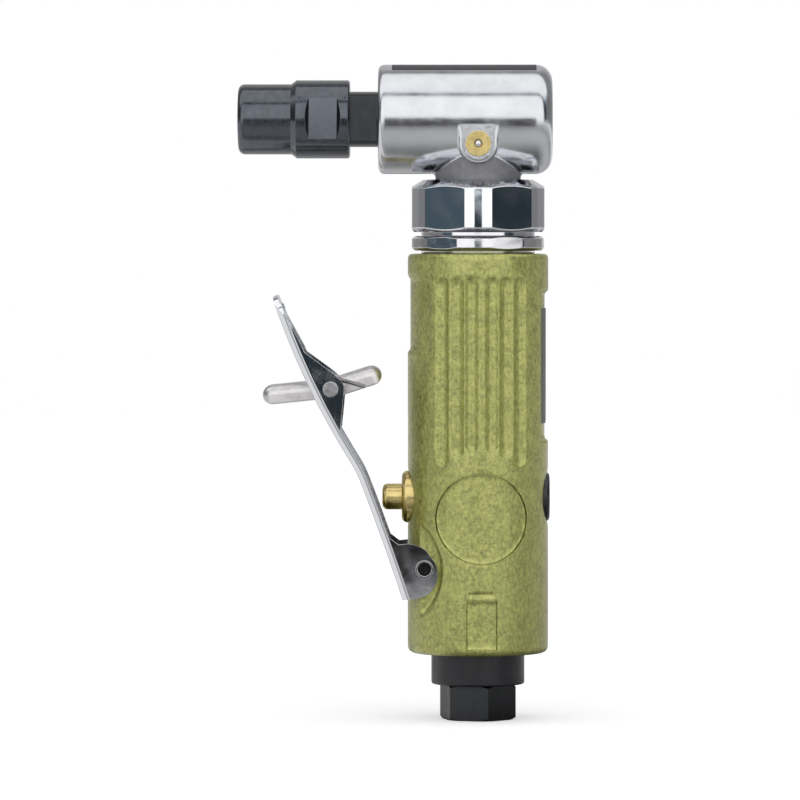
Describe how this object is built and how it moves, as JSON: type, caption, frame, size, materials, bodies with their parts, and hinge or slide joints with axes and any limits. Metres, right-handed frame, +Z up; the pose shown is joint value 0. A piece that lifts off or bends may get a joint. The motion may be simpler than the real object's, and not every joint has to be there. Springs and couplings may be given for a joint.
{
  "type": "right angle die grinder",
  "caption": "Pneumatic right angle die grinder with a throttle lever, folding safety lever, bevel geared angle head and collet nut.",
  "frame": {"origin": "centre of the air inlet's bottom face, on the handle's axis", "axes": "+Z up the handle to the head, -X along the spindle to the collet, +Y away from the grease fitting's side"},
  "size_m": [0.0783, 0.035, 0.1636],
  "materials": {
    "olive_enamel": "hammered",
    "polished_aluminium": "satin",
    "chrome_plate": "polished",
    "zinc_plate": "satin",
    "black_oxide": "satin",
    "bare_plate": "matte",
    "brass": "turned",
    "black_plastic": "moulded",
    "bright_steel": "ground",
    "bearing_steel": "polished",
    "spring_steel": "drawn",
    "cast_grey": "machined",
    "seal_rubber": "moulded",
    "felt": "pressed",
    "vane_resin": "machined",
    "gasket_fibre": "pressed"
  },
  "bodies": {
    "handle": {"housing": "olive_enamel", "side_plate": "bare_plate", "angle_head": "polished_aluminium", "head_plate": "bare_plate", "clamp_nut": "chrome_plate", "lock_ring": "zinc_plate", "coupling_sleeve": "zinc_plate", "grease_fitting": "brass", "lever_pin": "zinc_plate", "valve_bushing": "brass", "bushing_seal": "seal_rubber", "valve_seat": "zinc_plate", "valve_spring": "spring_steel", "inlet_bushing": "black_oxide", "inlet_screen": "bright_steel", "rear_gasket": "gasket_fibre", "rear_plate": "cast_grey", "motor_cylinder": "cast_grey", "front_plate": "cast_grey", "cylinder_pin": "bearing_steel", "rear_bearing_outer": "bearing_steel", "front_bearing_outer": "bearing_steel", "pinion_bearing_outer": "bearing_steel", "pinion_snap_ring": "spring_steel", "spindle_bearing_outer": "bearing_steel", "bearing_retainer": "zinc_plate", "spindle_seal": "felt", "tail_bearing_cup": "bearing_steel"},
    "throttle": {"throttle_lever": "chrome_plate", "safety_pin": "bright_steel", "safety_spring": "spring_steel"},
    "safety": {"safety_lever": "bright_steel"},
    "valve": {"valve_stem": "brass", "valve_disc": "seal_rubber"},
    "regulator": {"regulator_knob": "black_plastic", "regulator_seal": "seal_rubber"},
    "deflector": {"exhaust_deflector": "black_plastic", "exhaust_felt": "felt"},
    "motor_rotor": {"rotor": "bright_steel", "rotor_vanes": "vane_resin", "rear_bearing_inner": "bearing_steel", "rear_bearing_balls": "bearing_steel", "front_bearing_inner": "bearing_steel", "front_bearing_balls": "bearing_steel", "bevel_pinion": "bright_steel", "pinion_bearing_inner": "bearing_steel", "pinion_bearing_balls": "bearing_steel"},
    "output_spindle": {"spindle": "black_oxide", "bevel_gear": "bright_steel", "gear_key": "bearing_steel", "spindle_bearing_inner": "bearing_steel", "spindle_bearing_balls": "bearing_steel", "tail_bearing_needles": "bearing_steel", "collet": "black_oxide"},
    "nut": {"collet_nut": "black_oxide"},
    "check_ball": {"grease_ball": "bearing_steel"}
  },
  "joints": [
    {"name": "lever_press", "type": "hinge", "parent": "handle", "child": "throttle", "pos_m": [-0.0133, 0, 0.0381], "axis": [0, 1, 0], "range_deg": [0, 14], "stiffness_Nm_per_rad": 0.4, "springref_deg": -5.73},
    {"name": "safety_swing", "type": "hinge", "parent": "throttle", "child": "safety", "pos_m": [-0.0366, 0, 0.08275], "axis": [0, 1, 0], "range_deg": [0, 70], "deforming": ["safety_spring"]},
    {"name": "valve_slide", "type": "slide", "parent": "handle", "child": "valve", "axis": [1, 0, 0], "range_m": [0, 0.0029], "deforming": ["valve_spring"]},
    {"name": "regulator_turn", "type": "hinge", "parent": "handle", "child": "regulator", "pos_m": [0.012, 0, 0.05565], "axis": [1, 0, 0], "range_deg": [0, 90]},
    {"name": "deflector_turn", "type": "hinge", "parent": "handle", "child": "deflector", "pos_m": [0, 0, 0.013], "axis": [0, 0, 1], "continuous": true},
    {"name": "rotor_spin", "type": "hinge", "parent": "handle", "child": "motor_rotor", "pos_m": [0, 0, 0.09], "axis": [0, 0, 1], "continuous": true},
    {"name": "spindle_spin", "type": "hinge", "parent": "handle", "child": "output_spindle", "pos_m": [-0.02, 0, 0.14993], "axis": [1, 0, 0], "continuous": true},
    {"name": "nut_turn", "type": "hinge", "parent": "output_spindle", "child": "nut", "pos_m": [-0.045, 0, 0.14993], "axis": [1, 0, 0], "range_deg": [0, 360]},
    {"name": "ball_check", "type": "slide", "parent": "handle", "child": "check_ball", "axis": [0, 1, 0], "range_m": [0, 0.0006], "stiffness_N_per_m": 50}
  ],
  "couplings": [
    {"joint": "safety_swing", "follows": "lever_press", "ratio": 5},
    {"joint": "valve_slide", "follows": "lever_press", "m_per_rad": 0.011868},
    {"joint": "spindle_spin", "follows": "rotor_spin", "ratio": -0.85714}
  ]
}
